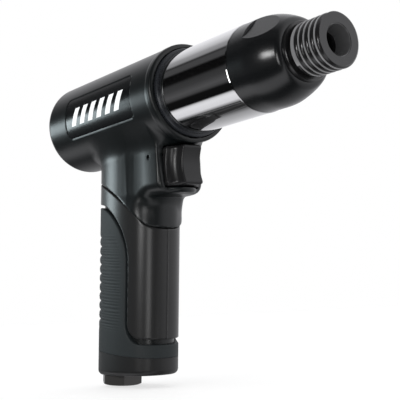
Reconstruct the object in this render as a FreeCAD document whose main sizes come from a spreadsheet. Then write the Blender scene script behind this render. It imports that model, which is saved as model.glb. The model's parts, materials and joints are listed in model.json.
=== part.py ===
"""Pneumatic air hammer with a pistol grip, as separate named pieces.

Frame: the origin is the centre of the barrel's front face, +X points forward out of the muzzle,
+Y to the tool's left, +Z up.  A "station" is a distance behind the front face, so x = -station.
The handle leans back by the rake angle; its own frame has z along the handle and x forward.
"""
import FreeCAD, Part
import math
import os
import Sketcher

Vector = FreeCAD.Vector
doc = FreeCAD.newDocument("air_hammer")
sheet = doc.addObject("Spreadsheet::Sheet", "Sizes")
pieces = []


class Size:
    """A number together with the spreadsheet expression that it stands for."""

    def __init__(self, value, text):
        self.value = value
        self.text = text

    def __add__(self, other):
        other = as_size(other)
        return Size(self.value + other.value, f"({self.text} + {other.text})")

    def __sub__(self, other):
        other = as_size(other)
        return Size(self.value - other.value, f"({self.text} - {other.text})")

    def __mul__(self, other):
        other = as_size(other)
        return Size(self.value * other.value, f"({self.text} * {other.text})")

    def __truediv__(self, other):
        other = as_size(other)
        return Size(self.value / other.value, f"({self.text} / {other.text})")

    def __radd__(self, other):
        return as_size(other) + self

    def __rsub__(self, other):
        return as_size(other) - self

    def __rmul__(self, other):
        return as_size(other) * self

    def __neg__(self):
        return as_size(0) - self


def as_size(number):
    if isinstance(number, Size):
        return number
    return Size(float(number), f"({float(number)!r})")


def cell(alias, value, meaning):
    """One driving dimension: a row of the spreadsheet with its meaning, its number and its alias."""
    cell.row += 1
    sheet.set(f"A{cell.row}", meaning)
    sheet.set(f"B{cell.row}", str(value))
    sheet.setAlias(f"B{cell.row}", alias)
    return Size(float(value), f"Sizes.{alias}")


cell.row = 0


def cosine(angle):
    return Size(math.cos(math.radians(angle.value)), f"cos({angle.text} * 1deg)")


def sine(angle):
    return Size(math.sin(math.radians(angle.value)), f"sin({angle.text} * 1deg)")


def bind(thing, name, size):
    """Gives a property or a sketch constraint its value, bound to the spreadsheet."""
    thing.setExpression(name, as_size(size).text)


# ---------------------------------------------------------------- driving dimensions
# Barrel, thread and bores.
thread_r = cell("thread_r", 13.5, "retainer thread, outside radius")
thread_pitch = cell("thread_pitch", 3.5, "retainer thread, pitch")
thread_end = cell("thread_end", 18.2, "station where the retainer thread stops")
neck_end = cell("neck_end", 22.2, "station where the neck behind the thread stops")
neck_r = cell("neck_r", 12, "neck behind the thread, radius")
mouth_r = cell("mouth_r", 7.7, "radius of the flared mouth of the shank bore")
mouth_depth = cell("mouth_depth", 9, "depth of the flare")
shank_r = cell("shank_r", 5.1, "shank bore, radius (0.401 inch shank)")
shank_end = cell("shank_end", 44, "station where the shank bore ends")
bore_r = cell("bore_r", 9.5, "piston bore, radius")
bore_start = cell("bore_start", 47, "station where the piston bore starts")
flange_r = cell("flange_r", 18.95, "barrel flange, radius, screwed into the housing")
flange_start = cell("flange_start", 128.1, "station where the barrel flange starts")
barrel_end = cell("barrel_end", 184, "station of the barrel's rear face")
barrel_groove = cell("barrel_groove", 178, "station of the seal groove in the barrel flange")
piston_length = cell("piston_length", 69, "piston, length")
# Nose, sleeve and the ring at the mouth of the housing.
nose_start = cell("nose_start", 22.3, "station of the nose's front face")
nose_front_r = cell("nose_front_r", 14.4, "nose, radius of its front face")
dome_start = cell("dome_start", 25.0, "station where the dome's small front rounding ends")
dome_r = cell("dome_r", 18.3, "dome radius there")
nose_shoulder = cell("nose_shoulder", 43.5, "station where the dome meets the straight skirt")
nose_r = cell("nose_r", 23.0, "nose skirt, radius")
nose_end = cell("nose_end", 54.2, "station of the nose's rear edge")
spigot_end = cell("spigot_end", 60, "station of the rear end of the nose's spigot")
spigot_bore = cell("spigot_bore", 18, "bore of the nose's spigot, radius")
nose_groove = cell("nose_groove", 30, "station of the seal groove inside the nose")
flat_height = cell("flat_height", 21.8, "wrench flat, distance from the barrel axis at the shoulder")
flat_slope = cell("flat_slope", 10, "wrench flat, slope towards the front, degrees")
flat_turn = cell("flat_turn", 43.5, "wrench flat, angle above the horizontal, degrees")
sleeve_r = cell("sleeve_r", 23.25, "chrome sleeve, outside radius")
sleeve_bore = cell("sleeve_bore", 21.5, "chrome sleeve, inside radius")
sleeve_end = cell("sleeve_end", 127.9, "station of the sleeve's rear end")
ring_front = cell("ring_front", 110.9, "station of the front ring's face")
ring_r = cell("ring_r", 24.9, "front ring, outside radius where it shows")
# Housing.
house_front = cell("house_front", 113, "station of the housing's front edge")
house_end = cell("house_end", 232, "station of the housing's closed rear end")
house_r = cell("house_r", 27.6, "housing barrel, outside radius")
lip_r = cell("lip_r", 27.9, "housing front lip, outside radius")
lip_bore = cell("lip_bore", 25.5, "housing front counterbore, radius")
house_bore = cell("house_bore", 19.0, "housing bore for the barrel flange, radius")
house_floor = cell("house_floor", 214, "station of the bore's floor")
rear_round = cell("rear_round", 7, "rounding of the rear edge")
label_front = cell("label_front", 134, "station of the label panel's front edge")
label_rear = cell("label_rear", 205.5, "station of the label panel's rear edge")
label_angle = cell("label_angle", 52, "label panel, angle that it spans, degrees")
label_depth = cell("label_depth", 0.7, "label panel, depth")
# Handle.
rake = cell("rake", 5.5, "handle rake, degrees")
handle_x = cell("handle_x", -163.5, "handle axis at the barrel axis")
handle_a = cell("handle_a", 29.5, "handle, half depth")
handle_b = cell("handle_b", 18, "handle, half width")
nose_round = cell("nose_round", 16, "handle oval, radius of its front and rear arcs")
grip_wall = cell("grip_wall", 2.6, "grip thickness")
grip_end = cell("grip_end", 143.3, "lower end of the grips, down the handle")
core_end = cell("core_end", 142.6, "lower end of the metal core, down the handle")
cap_floor = cell("cap_floor", 155, "depth of the base cap's flat underside below the barrel axis")
groove_x = cell("groove_x", 12.2, "middle of the upright groove between the grips")
groove_wide = cell("groove_wide", 1.8, "width of the groove between the grips")
bend_r = cell("bend_r", 33, "radius of the groove's upper bend")
bend_z = cell("bend_z", -90, "height of the groove's upper bend, up the handle")
low_bend_r = cell("low_bend_r", 10, "radius of the groove's lower bend")
low_bend_z = cell("low_bend_z", -124.3, "height of the groove's lower bend, up the handle")
inlet_x = cell("inlet_x", -16.5, "air inlet axis, in the handle's frame")
inlet_shank_r = cell("inlet_shank_r", 8.5, "inlet bushing, shank radius")
hex_width = cell("hex_width", 22, "inlet bushing, width across the flats")
hex_turn = cell("hex_turn", 33, "hexagon, angle of its first corner, degrees")
hex_seat = cell("hex_seat", 156, "seat of the hexagon, down the handle")
hex_height = cell("hex_height", 7.2, "hexagon, height")
inlet_thread_r = cell("inlet_thread_r", 5.7, "inlet thread, radius (1/4 inch pipe)")
inlet_thread_depth = cell("inlet_thread_depth", 13, "inlet thread, depth")
# Trigger block and throttle.
cheek_b = cell("cheek_b", 15.4, "trigger block, half width")
flank_curve = cell("flank_curve", 45, "radius of the block's flanks where they close in towards the front")
flank_start = cell("flank_start", 141, "station where the flanks begin to close in")
flank_stop = cell("flank_stop", 122, "station where the flanks' curve ends, ahead of the block")
flank_stop_b = cell("flank_stop_b", 11.1922, "half width where the flanks' curve ends")
cheek_front = cell("cheek_front", 125.7, "station of the block's front at its underside")
brow_front = cell("brow_front", 129, "station of the block's front at its top")
block_top = cell("block_top", 10, "depth of the block's top, inside the barrel shell")
block_back = cell("block_back", 165, "station of the block's back, inside the neck")
block_tail = cell("block_tail", 74, "depth that the block reaches inside the neck")
block_round = cell("block_round", 4.5, "rounding of the block's lower edges")
chin_front = cell("chin_front", 120.5, "station of the chin's rounded front")
chin_b = cell("chin_b", 11.5, "chin, half width and radius of its front")
chin_round = cell("chin_round", 2.4, "rounding of the chin's lower edge")
block_floor = cell("block_floor", 54.5, "depth of the block's underside below the barrel axis")
scoop_r = cell("scoop_r", 9, "radius of the scoop behind the block")
scoop_back = cell("scoop_back", 146.5, "station of the scoop's wall")
pocket_b = cell("pocket_b", 11.45, "trigger pocket, half width")
pocket_top = cell("pocket_top", 28.1, "depth of the trigger pocket's roof")
pocket_floor = cell("pocket_floor", 51.3, "depth of the trigger pocket's floor")
pocket_end = cell("pocket_end", 147, "station of the trigger pocket's back wall")
throttle_z = cell("throttle_z", 39.5, "depth of the throttle axis below the barrel axis")
throttle_r = cell("throttle_r", 7, "throttle bore, radius")
throttle_end = cell("throttle_end", 186, "station where the throttle bore ends")
supply_station = cell("supply_station", 155, "station of the air passage between the throttle and the barrel")
trigger_front = cell("trigger_front", 116.2, "station of the trigger pad at the middle of its dish")
trigger_rear = cell("trigger_rear", 139, "station of the trigger's rear face")
trigger_b = cell("trigger_b", 11.2, "trigger, half width between the cheeks")
shoulder_front = cell("shoulder_front", 124.7, "station of the trigger's shoulders at mid height")
flare_r = cell("flare_r", 5.2, "radius of the flare between the pad and the shoulders")
dish_r = cell("dish_r", 22.4, "radius of the pad's dish")
trigger_top = cell("trigger_top", 28.5, "depth of the trigger's top")
trigger_floor = cell("trigger_floor", 50.9, "depth of the trigger's underside")
pad_b = cell("pad_b", 6.2, "trigger pad, half width")
trigger_travel = cell("trigger_travel", 7, "trigger travel")
pin_station = cell("pin_station", 135.4, "station of the roll pin")
pin_z = cell("pin_z", 33.4, "depth of the roll pin below the barrel axis")
pin_r = cell("pin_r", 1.25, "roll pin, radius")
pin_b = cell("pin_b", 14.2, "roll pin, half length")
gap = cell("gap", 0.05, "clearance between fixed pieces")
bushing_end = cell("bushing_end", 163, "station of the throttle bushing's rear face")
muffler_x = cell("muffler_x", 6.5, "middle of the exhaust chamber, in the handle's frame")
muffler_a = cell("muffler_a", 10.5, "exhaust chamber, half depth")
muffler_b = cell("muffler_b", 10, "exhaust chamber, half width")
screw_x = cell("screw_x", 20.5, "base screws, in the handle's frame")
screw_y = cell("screw_y", 5.5, "base screws, distance from the middle plane")

core_a = handle_a - grip_wall
core_b = handle_b - grip_wall


# ---------------------------------------------------------------- helpers
def new_body(label):
    """A PartDesign body that becomes one node."""
    body = doc.addObject("PartDesign::Body", label + "_body")
    body.Label = label
    pieces.append(body)
    return body


def handle_point(across, up):
    """Tool-frame x and z of a point given in the handle's leaning frame."""
    x = handle_x + across * cosine(rake) + up * sine(rake)
    z = up * cosine(rake) - across * sine(rake)
    return x, z


def place(thing, x=0, y=0, z=0, lean=None, prefix="Placement"):
    """Binds a position and a lean about +Y to the spreadsheet."""
    bind(thing, f"{prefix}.Base.x", x)
    bind(thing, f"{prefix}.Base.y", y)
    bind(thing, f"{prefix}.Base.z", z)
    if lean is not None:
        rotation = FreeCAD.Rotation(Vector(0, 1, 0), lean.value)
        setattr(thing, prefix, FreeCAD.Placement(Vector(), rotation))
        bind(thing, f"{prefix}.Rotation.Angle", lean)


def new_sketch(body, plane):
    """A sketch on one of the body's own origin planes."""
    sketch = body.newObject("Sketcher::SketchObject", "Sketch")
    origin_plane = next(o for o in body.Origin.OriginFeatures if o.Role == plane)
    sketch.AttachmentSupport = [(origin_plane, "")]
    sketch.MapMode = "FlatFace"
    return sketch


def arc_side(start, end, radius):
    """A minor arc from start to end: it turns left for a positive radius, right for a negative one."""
    if radius < 0:
        arc, first, last = arc_side(end, start, -radius)
        return arc, last, first
    chord = end - start
    rise = math.sqrt(max(radius * radius - chord.Length * chord.Length / 4, 0))
    left = Vector(-chord.y, chord.x, 0).normalize()
    centre = (start + end) * 0.5 + left * rise
    begin = math.atan2(start.y - centre.y, start.x - centre.x)
    finish = math.atan2(end.y - centre.y, end.x - centre.x)
    circle = Part.Circle(centre, Vector(0, 0, 1), radius)
    return Part.ArcOfCircle(circle, begin, finish), 1, 2


def draw(sketch, corners):
    """A closed outline through (x, y) corners.  A third number makes the side after it an arc."""
    spots = []
    for corner in corners:
        spots.append(Vector(as_size(corner[0]).value, as_size(corner[1]).value, 0))
    sides = []
    for number, corner in enumerate(corners):
        start = spots[number]
        end = spots[(number + 1) % len(corners)]
        if len(corner) == 3:
            geometry, first, last = arc_side(start, end, as_size(corner[2]).value)
        else:
            geometry, first, last = Part.LineSegment(start, end), 1, 2
        sides.append((sketch.addGeometry(geometry), first, last))
    for number, corner in enumerate(corners):
        side, first, last = sides[number]
        after, after_first, _ = sides[(number + 1) % len(corners)]
        sketch.addConstraint(Sketcher.Constraint("Coincident", side, last, after, after_first))
        for axis, size in (("DistanceX", corner[0]), ("DistanceY", corner[1])):
            value = as_size(size).value
            index = sketch.addConstraint(Sketcher.Constraint(axis, -1, 1, side, first, value))
            bind(sketch, f"Constraints[{index}]", size)
        if len(corner) == 3:
            radius = corner[2] if as_size(corner[2]).value > 0 else -corner[2]
            value = as_size(radius).value
            index = sketch.addConstraint(Sketcher.Constraint("Radius", side, value))
            bind(sketch, f"Constraints[{index}]", radius)


def draw_circle(sketch, x, y, radius):
    circle = Part.Circle(Vector(as_size(x).value, as_size(y).value, 0), Vector(0, 0, 1),
                         as_size(radius).value)
    side = sketch.addGeometry(circle)
    for axis, size in (("DistanceX", x), ("DistanceY", y)):
        value = as_size(size).value
        index = sketch.addConstraint(Sketcher.Constraint(axis, -1, 1, side, 3, value))
        bind(sketch, f"Constraints[{index}]", size)
    index = sketch.addConstraint(Sketcher.Constraint("Radius", side, as_size(radius).value))
    bind(sketch, f"Constraints[{index}]", radius)


def oval(half_depth, half_width, end_round, middle=0):
    """Corners of an oval made of two end arcs and two flatter side arcs, all tangent."""
    reach = half_depth - end_round
    side_round = ((reach * reach + half_width * half_width - end_round * end_round)
                  / (2 * (half_width - end_round)))
    share = side_round / (side_round - end_round)
    x = share * reach
    y = share * (side_round - half_width) - (side_round - half_width)
    return [(middle + x, -y, end_round), (middle + x, y, side_round),
            (middle - x, y, end_round), (middle - x, -y, side_round)]


def draw_oval(sketch, half_depth, half_width, end_round, middle=0):
    draw(sketch, oval(half_depth, half_width, end_round, middle))


def finish_feature(body, feature):
    """Recomputes, and stops if a cut or an addition did nothing or failed."""
    base = feature.BaseFeature
    before = base.Shape.Volume if base is not None else 0
    doc.recompute()
    if feature.Shape.isNull() or "Invalid" in feature.State or "Error" in feature.State:
        raise RuntimeError(f"{body.Label}: {feature.Name} failed")
    if abs(feature.Shape.Volume - before) < 1e-3:
        raise RuntimeError(f"{body.Label}: {feature.Name} changed nothing")
    if not feature.Shape.isValid():
        raise RuntimeError(f"{body.Label}: {feature.Name} is not a valid solid")
    body.Tip = feature
    return feature


def turn(body, outline, kind="Revolution", plane="XZ_Plane", axis="H_Axis", angle=360, shift=0):
    """Turns an outline about a sketch axis, as a solid or as a groove.  A shift moves the axis along x."""
    sketch = new_sketch(body, plane)
    bind(sketch, "AttachmentOffset.Base.x", shift)
    draw(sketch, outline)
    feature = body.newObject("PartDesign::" + kind, kind)
    feature.Profile = sketch
    feature.ReferenceAxis = (sketch, [axis])
    if isinstance(angle, Size):
        feature.Midplane = True
        bind(feature, "Angle", angle)
    else:
        feature.Angle = angle
    return finish_feature(body, feature)


def extrude(body, sketch, length, kind="Pad", midplane=False, backwards=False):
    """Pads or pockets a finished sketch."""
    feature = body.newObject("PartDesign::" + kind, kind)
    feature.Profile = sketch
    feature.Midplane = midplane
    feature.Reversed = backwards
    bind(feature, "Length", length)
    return finish_feature(body, feature)


def stations(*corners):
    """Turns (station, radius) corners into sketch corners, since x is minus the station."""
    return [(-as_size(c[0]),) + tuple(c[1:]) for c in corners]


def ease(body, size, chosen, kind="Fillet"):
    """Rounds or chamfers the edges that chosen(edge) accepts."""
    base = body.Tip
    names = []
    for number, edge in enumerate(base.Shape.Edges, start=1):
        if chosen(edge):
            names.append(f"Edge{number}")
    if not names:
        raise RuntimeError(f"{body.Label}: no edge to ease")
    feature = body.newObject("PartDesign::" + kind, kind)
    feature.Base = (base, names)
    bind(feature, "Radius" if kind == "Fillet" else "Size", size)
    return finish_feature(body, feature)


def near(value, target, tolerance=0.02):
    return abs(value - as_size(target).value) < tolerance


def rim_at(station, radius):
    """Picks the circular edges of that radius about the barrel axis at that station."""
    def chosen(edge):
        box = edge.BoundBox
        flat = box.XLength < 0.02 and near(box.Center.x, -as_size(station))
        return flat and near(box.YMax, radius, 0.1)
    return chosen


def turned_ring(label, first, last, inner, outer):
    """A plain ring about the barrel axis."""
    body = new_body(label)
    turn(body, stations((first, inner), (first, outer), (last, outer), (last, inner)))
    return body


def seal(label, radius, thickness, x=0, z=0, upright=None):
    """A rubber O-ring about an axis parallel to the barrel, or about the handle's axis."""
    ring = doc.addObject("Part::Torus", label + "_torus")
    ring.Label = label
    bind(ring, "Radius1", radius)
    bind(ring, "Radius2", thickness)
    if upright is None:
        ring.Placement = FreeCAD.Placement(Vector(), FreeCAD.Rotation(Vector(0, 1, 0), 90))
        bind(ring, "Placement.Base.x", x)
        bind(ring, "Placement.Base.z", z)
    else:
        place(ring, x, 0, z, upright)
    pieces.append(ring)
    return ring


def leaning_body(label):
    """A body whose own frame is the handle's leaning frame."""
    body = new_body(label)
    place(body, handle_x, 0, 0, rake)
    return body


# ---------------------------------------------------------------- barrel group
def make_barrel():
    """Steel barrel: threaded front end, shank bore, piston bore and the flange at the rear."""
    body = new_body("barrel")
    turn(body, stations(
        (0, mouth_r), (0, thread_r - 0.35), (0.35, thread_r), (thread_end, thread_r),
        (thread_end + 1, neck_r), (neck_end, neck_r), (neck_end, thread_r), (flange_start, thread_r),
        (flange_start, flange_r), (barrel_end, flange_r), (barrel_end, bore_r),
        (bore_start, bore_r), (shank_end, shank_r), (mouth_depth, shank_r)))
    ease(body, 0.4, rim_at(0, mouth_r), "Chamfer")
    groove = new_sketch(body, "XZ_Plane")
    draw_circle(groove, thread_pitch / 2, thread_r + 0.25, (thread_pitch - 0.6) / 2)
    helix = body.newObject("PartDesign::SubtractiveHelix", "Thread")
    helix.Profile = groove
    helix.ReferenceAxis = (groove, ["H_Axis"])
    helix.Mode = 0
    helix.Reversed = True
    bind(helix, "Pitch", thread_pitch)
    bind(helix, "Height", thread_end + 1.5)
    finish_feature(body, helix)
    root = flange_r - 1.55
    turn(body, stations((barrel_groove, root), (barrel_groove, flange_r + 1),
                        (barrel_groove + 2.2, flange_r + 1), (barrel_groove + 2.2, root)), "Groove")


def make_retaining_ring():
    """Split ring in the neck, which keeps the nose on the barrel."""
    front = neck_end - 1.9
    outer = neck_r + 2.95
    body = turned_ring("retaining_ring", front, neck_end, neck_r + 0.1, outer)
    ease(body, 0.35, rim_at(front, outer), "Chamfer")
    slit = new_sketch(body, "XY_Plane")
    draw(slit, stations((front - 1, neck_r - 1), (front - 1, outer + 1),
                        (neck_end + 1, outer + 1), (neck_end + 1, neck_r - 1)))
    extrude(body, slit, 4, "Pocket", midplane=True)


def make_nose():
    """Black steel nose: a dome with two wrench flats and a spigot that centres the sleeve."""
    body = new_body("nose")
    bore = thread_r + gap
    spigot = sleeve_bore - gap
    run = nose_shoulder - dome_start
    rise = nose_r - dome_r
    dome_round = (run * run + rise * rise) / (2 * rise)
    turn(body, stations(
        (nose_start, bore), (nose_start, nose_front_r, 4.5), (dome_start, dome_r, dome_round),
        (nose_shoulder, nose_r), (nose_end - 0.5, nose_r), (nose_end, nose_r - 0.5),
        (nose_end, spigot), (spigot_end, spigot), (spigot_end, spigot_bore), (40, spigot_bore),
        (36, bore)))
    turn(body, stations((nose_groove, bore - 0.5), (nose_groove, bore + 1.15),
                        (nose_groove + 2, bore + 1.15), (nose_groove + 2, bore - 0.5)), "Groove")
    flats = new_sketch(body, "XZ_Plane")
    flats.AttachmentOffset = FreeCAD.Placement(Vector(), FreeCAD.Rotation(Vector(1, 0, 0), 45))
    bind(flats, "AttachmentOffset.Rotation.Angle", 90 - flat_turn)
    clear = nose_r + 7
    ahead = nose_start - 7.3
    drop = (nose_shoulder - ahead) * sine(flat_slope) / cosine(flat_slope)
    for side in (1, -1):
        draw(flats, stations(
            (nose_shoulder, side * flat_height), (nose_shoulder, side * clear), (ahead, side * clear),
            (ahead, side * (flat_height - drop))))
    extrude(body, flats, 2 * clear, "Pocket", midplane=True)


def make_sleeve():
    """Chromed tube between the nose and the housing."""
    body = turned_ring("chrome_sleeve", nose_end + gap, sleeve_end, sleeve_bore, sleeve_r)
    ease(body, 0.3, rim_at(nose_end + gap, sleeve_r), "Chamfer")


def make_front_ring():
    """Black ring that fills the space between the sleeve and the housing's mouth."""
    body = new_body("front_ring")
    inner = sleeve_r + gap
    step = ring_front + 7.1
    turn(body, stations(
        (ring_front, inner), (ring_front, ring_r - 0.6), (ring_front + 0.6, ring_r), (step, ring_r),
        (step, lip_bore - gap), (sleeve_end, lip_bore - gap), (sleeve_end, inner)))


def make_piston():
    """Free piston, with two oil grooves."""
    body = new_body("piston")
    front = barrel_end - piston_length
    radius = bore_r - 0.04
    turn(body, stations(
        (front, 0), (front, radius - 2.5), (front + 2.5, radius), (barrel_end - 1, radius),
        (barrel_end, radius - 1), (barrel_end, 0)))
    for station in (front + 14, front + 22):
        turn(body, stations((station, radius - 0.8), (station, radius + 1),
                            (station + 2, radius + 1), (station + 2, radius - 0.8)), "Groove")


def make_valve():
    """Valve behind the barrel: case, moving disc, cap, dowels, seal and cushion."""
    case_end = barrel_end + 13
    chamber = case_end - 3.8
    cap_end = case_end + 13
    groove = case_end + 6
    disc_r = 12
    dowel_y = 15
    case = new_body("valve_case")
    turn(case, stations(
        (barrel_end + gap, 7), (barrel_end + gap, flange_r), (case_end, flange_r),
        (case_end, disc_r + gap), (chamber, disc_r + gap), (chamber, 7)))
    disc = new_body("valve_disc")
    turn(disc, stations((chamber + 0.02, 2), (chamber + 0.02, disc_r),
                        (chamber + 3, disc_r), (chamber + 3, 2)))
    cap = new_body("valve_cap")
    turn(cap, stations(
        (case_end + gap, 0), (case_end + gap, flange_r), (groove, flange_r),
        (groove, 17.3), (groove + 2, 17.3), (groove + 2, flange_r), (cap_end, flange_r),
        (cap_end, 12), (cap_end - 6, 12), (cap_end - 6, 0)))
    dowels = new_body("valve_dowels")
    row = new_sketch(dowels, "YZ_Plane")
    for body in (case, cap):
        ports = new_sketch(body, "YZ_Plane")
        for number in range(6):
            turned = math.radians(60 * number + 30)
            draw_circle(ports, 9.6 * math.cos(turned), 9.6 * math.sin(turned), 1.6)
        for side in (1, -1):
            draw_circle(ports, 0, side * dowel_y, 1.5 + gap)
        extrude(body, ports, cap_end + 5, "Pocket")
    for side in (1, -1):
        draw_circle(row, 0, side * dowel_y, 1.5)
    extrude(dowels, row, 18)
    bind(dowels, "Placement.Base.x", -(groove + 1))
    seal("valve_seal", 18.1, 0.75, x=-(groove + 1))
    cushion = turned_ring("rear_cushion", cap_end + gap, house_floor - gap, 4, flange_r - 0.15)
    ease(cushion, 0.6, rim_at(cap_end + gap, flange_r - 0.15))


# ---------------------------------------------------------------- housing
def make_housing():
    """Cast housing: trigger block and chin, handle core, neck and barrel shell, all bored out."""
    body = new_body("housing")
    block = new_sketch(body, "XZ_Plane")
    draw(block, stations(
        (block_back, -block_top), (block_back, -block_tail), (scoop_back, -block_tail),
        (scoop_back, -(block_floor + scoop_r), -scoop_r), (scoop_back - scoop_r, -block_floor),
        (cheek_front, -block_floor), (brow_front, -block_top)))
    extrude(body, block, 2 * cheek_b, midplane=True)

    outside = new_sketch(body, "XY_Plane")
    for side in (1, -1):
        draw(outside, stations(
            (flank_start, side * cheek_b, -side * flank_curve), (flank_stop, side * flank_stop_b),
            (flank_stop, side * (cheek_b + 5)), (flank_start, side * (cheek_b + 5))))
    extrude(body, outside, block_tail + 5, "Pocket")
    under = -(block_floor + scoop_r).value

    def lower_edges(edge):
        box = edge.BoundBox
        outer = min(abs(box.YMin), abs(box.YMax)) > pocket_b.value and box.YMin * box.YMax > 0
        return outer and box.ZMax < -50 and box.ZMin > under - 0.1
    ease(body, block_round, lower_edges)

    flat = chin_b - chin_round
    turn(body, [(0, -pocket_floor), (chin_b, -pocket_floor), (chin_b, chin_round - block_floor, -chin_round),
                (flat, -block_floor), (0, -block_floor)],
         "Revolution", "XZ_Plane", "V_Axis", shift=-(chin_front + chin_b))

    for half_depth, half_width, top, bottom in (
            (handle_a, handle_b, 5, 72), (core_a, core_b, 45, core_end)):
        column = new_sketch(body, "XY_Plane")
        across, height = handle_point(as_size(0), -as_size(bottom))
        place(column, across, 0, height, rake, "AttachmentOffset")
        trim = handle_a - half_depth
        draw_oval(column, half_depth, half_width, nose_round - trim)
        extrude(body, column, as_size(bottom) - top)
        if top == 5:
            below_seam = new_sketch(body, "XZ_Plane")
            place_in_handle(below_seam)
            draw(below_seam, [(-40, -90), (40, -90), (40, -69.6)] + seam_corners() + [(-40, -41)])
            extrude(body, below_seam, 60, "Pocket", midplane=True)

    turn(body, stations(
        (house_front, 10), (house_front, lip_r - 1.4, 1.6), (house_front + 1.6, lip_r),
        (house_front + 4.5, lip_r), (house_front + 5.2, house_r), (house_end, house_r),
        (house_end, 0), (house_front + 20, 0)))
    ease(body, rear_round, rim_at(house_end, house_r))
    bored_out(body)


def place_in_handle(sketch):
    """Leans a side-view sketch by the rake, about the handle's origin."""
    sketch.AttachmentOffset = FreeCAD.Placement(Vector(), FreeCAD.Rotation(Vector(0, 0, 1), -5))
    bind(sketch, "AttachmentOffset.Base.x", handle_x)
    bind(sketch, "AttachmentOffset.Rotation.Angle", -rake)


def seam_corners():
    """The curved seam between the metal neck and the grips, from front to rear."""
    return [(28, -69.6, -12), (21.5, -65.2, 90), (-32, -42)]


def bored_out(body):
    """All the hollows of the housing."""
    turn(body, stations(
        (100, 0), (100, lip_bore), (128, lip_bore), (128, house_bore),
        (house_floor, house_bore), (house_floor, 0)), "Groove")
    panel = [(-label_rear, house_r - label_depth), (-label_front, house_r - label_depth),
             (-label_front, house_r + 2), (-label_rear, house_r + 2)]
    turn(body, panel, "Groove", "XY_Plane", "H_Axis", label_angle)
    turn(body, [(x, -y) for x, y in panel], "Groove", "XY_Plane", "H_Axis", label_angle)

    pocket = new_sketch(body, "XZ_Plane")
    draw(pocket, stations(
        (pocket_end, -pocket_top), (pocket_end, -pocket_floor), (100, -pocket_floor), (100, -pocket_top)))
    extrude(body, pocket, 2 * pocket_b, "Pocket", midplane=True)
    pin_hole = new_sketch(body, "XZ_Plane")
    draw_circle(pin_hole, -pin_station, -pin_z, pin_r + 0.03)
    extrude(body, pin_hole, 40, "Pocket", midplane=True)
    bore = new_sketch(body, "YZ_Plane")
    draw_circle(bore, 0, -throttle_z, throttle_r)
    extrude(body, bore, throttle_end, "Pocket")

    supply = new_sketch(body, "XY_Plane")
    bind(supply, "AttachmentOffset.Base.z", -throttle_z)
    draw_circle(supply, -supply_station, 0, 3)
    extrude(body, supply, throttle_z - 17, "Pocket", backwards=True)

    inlet = across_handle(body, core_end + 2)
    draw_circle(inlet, inlet_x, 0, 5)
    extrude(body, inlet, core_end - 41, "Pocket", backwards=True)
    socket = across_handle(body, core_end + 2)
    draw_circle(socket, inlet_x, 0, inlet_shank_r + gap)
    extrude(body, socket, core_end - 126, "Pocket", backwards=True)
    chamber = across_handle(body, core_end + 2)
    draw_oval(chamber, muffler_a, muffler_b, muffler_b - 1, muffler_x)
    extrude(body, chamber, core_end - 60, "Pocket", backwards=True)
    ducts = across_handle(body, 75)
    for side in (1, -1):
        draw_circle(ducts, 5, side * 10.9, 2.6)
    extrude(body, ducts, 61, "Pocket", backwards=True)
    tapped = across_handle(body, core_end + 2)
    for side in (1, -1):
        draw_circle(tapped, screw_x, side * screw_y, 1.55)
    extrude(body, tapped, 16, "Pocket", backwards=True)


def across_handle(body, down):
    """A sketch square to the handle, some way down it, on a body in the tool's frame."""
    sketch = new_sketch(body, "XY_Plane")
    x, z = handle_point(as_size(0), -as_size(down))
    place(sketch, x, 0, z, rake, "AttachmentOffset")
    return sketch


def make_label_panels():
    """Thin curved panels in the housing's two side recesses."""
    low = house_r - label_depth + 0.05
    high = low + 0.4
    for label, side in (("label_panel_right", -1), ("label_panel_left", 1)):
        panel = new_body(label)
        turn(panel, [(-label_rear + 0.3, side * low), (-label_front - 0.3, side * low),
                     (-label_front - 0.3, side * high), (-label_rear + 0.3, side * high)],
             "Revolution", "XY_Plane", "H_Axis", label_angle - 1)


# ---------------------------------------------------------------- trigger and throttle
def make_trigger():
    """Sliding trigger: a narrow dished pad that flares out to fill the pocket between the cheeks.

    The body's origin is the middle of the dish's circle, so the whole front is one groove turned about y.
    """
    body = new_body("trigger")
    middle = trigger_front - dish_r
    half_height = (trigger_floor - trigger_top) / 2
    dish_z = trigger_top + half_height
    bind(body, "Placement.Base.x", -middle)
    bind(body, "Placement.Base.z", -dish_z)
    block = new_sketch(body, "XZ_Plane")
    rear = middle - trigger_rear
    draw(block, [(rear, -half_height), (-15, -half_height), (-15, half_height), (rear, half_height)])
    extrude(body, block, 2 * trigger_b, midplane=True)
    shoulder_r = dish_r + shoulder_front - trigger_front
    past = trigger_b + 1
    turn(body, stations(
        (shoulder_r, -past), (shoulder_r, 0.5 - trigger_b, -flare_r), (dish_r + 3, -pad_b),
        (dish_r + 1, -pad_b, 1), (dish_r, 1 - pad_b), (dish_r, pad_b - 1, 1), (dish_r + 1, pad_b),
        (dish_r + 3, pad_b, -flare_r), (shoulder_r, trigger_b - 0.5), (shoulder_r, past),
        (1, past), (1, -past)), "Groove", "XY_Plane", "V_Axis")

    slot = new_sketch(body, "XZ_Plane")
    reach = pin_r + 0.1
    first = middle - pin_station
    last = first + trigger_travel + 0.05
    height = dish_z - pin_z
    draw(slot, [(first, height - reach), (last, height - reach, reach), (last + reach, height, reach),
                (last, height + reach), (first, height + reach, reach), (first - reach, height, reach)])
    extrude(body, slot, 2 * past, "Pocket", midplane=True)

    pin = new_body("trigger_pin")
    tube = new_sketch(pin, "XZ_Plane")
    draw_circle(tube, -pin_station, -pin_z, pin_r)
    draw_circle(tube, -pin_station, -pin_z, pin_r / 2)
    extrude(pin, tube, 2 * pin_b, midplane=True)


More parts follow.
